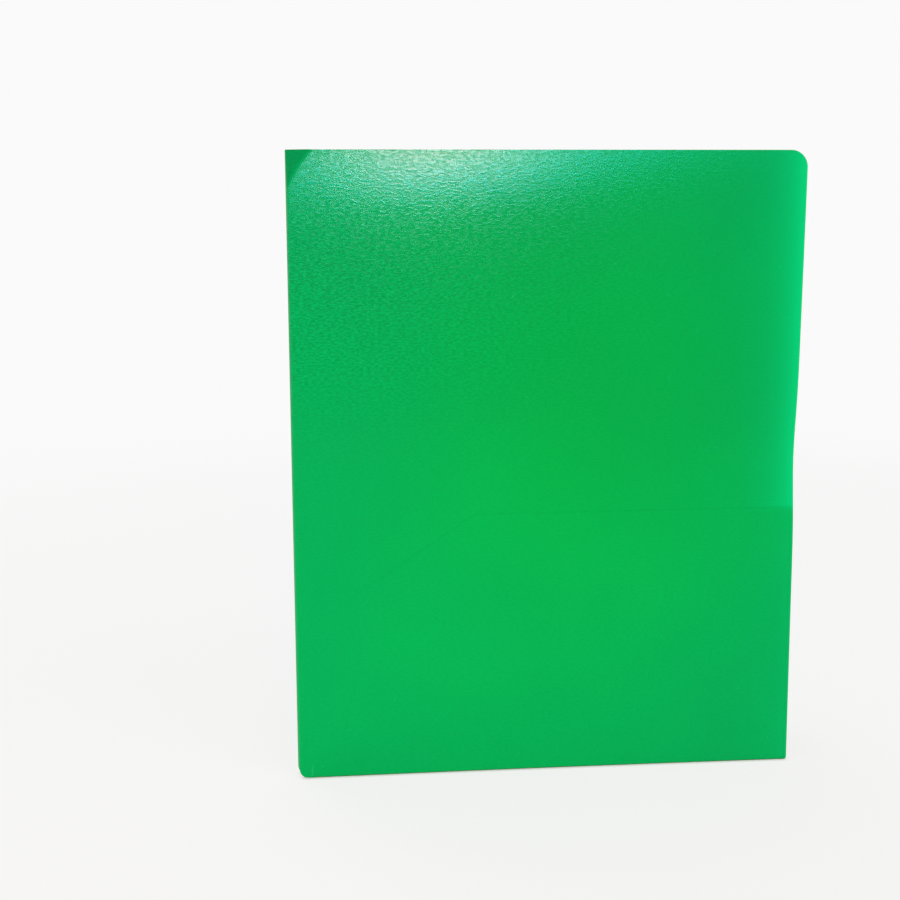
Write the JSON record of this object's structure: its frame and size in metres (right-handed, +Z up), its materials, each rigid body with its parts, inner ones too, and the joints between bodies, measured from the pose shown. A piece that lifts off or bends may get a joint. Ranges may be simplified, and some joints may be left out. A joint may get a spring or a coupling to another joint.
{
  "type": "two pocket folder",
  "caption": "Green textured plastic folder with a scored spine and a slant-topped pocket welded inside each cover; stands ajar and opens flat.",
  "frame": {"origin": "on the table, under the middle of the folder as it stands ajar", "axes": "+Z up, +X from the spine to the open edge, -Y out of the front cover; the folder mirrors itself across Y = 0"},
  "size_m": [0.2374, 0.0648, 0.295],
  "materials": {
    "cover_sheet": "fine leather-grain emboss, satin sheen",
    "pocket_sheet": "fine leather-grain emboss, satin sheen",
    "crease": "scored, slightly paler where it folds",
    "weld_seam": "fused, smooth"
  },
  "bodies": {
    "back": {"back_cover": "cover_sheet", "back_pocket": "pocket_sheet", "back_pocket_fold": "crease", "back_pocket_weld": "weld_seam"},
    "spine": {"spine_strip": "cover_sheet", "front_spine_crease": "crease", "back_spine_crease": "crease"},
    "front": {"front_cover": "cover_sheet", "front_pocket": "pocket_sheet", "front_pocket_fold": "crease", "front_pocket_weld": "weld_seam"}
  },
  "joints": [
    {"name": "back_crease", "type": "hinge", "parent": "back", "child": "spine", "pos_m": [-0.11851, 0.003, 0], "axis": [0, 0, -1], "range_deg": [-7, 83]},
    {"name": "front_crease", "type": "hinge", "parent": "spine", "child": "front", "pos_m": [-0.11851, -0.003, 0], "axis": [0, 0, -1], "range_deg": [-7, 83]}
  ]
}
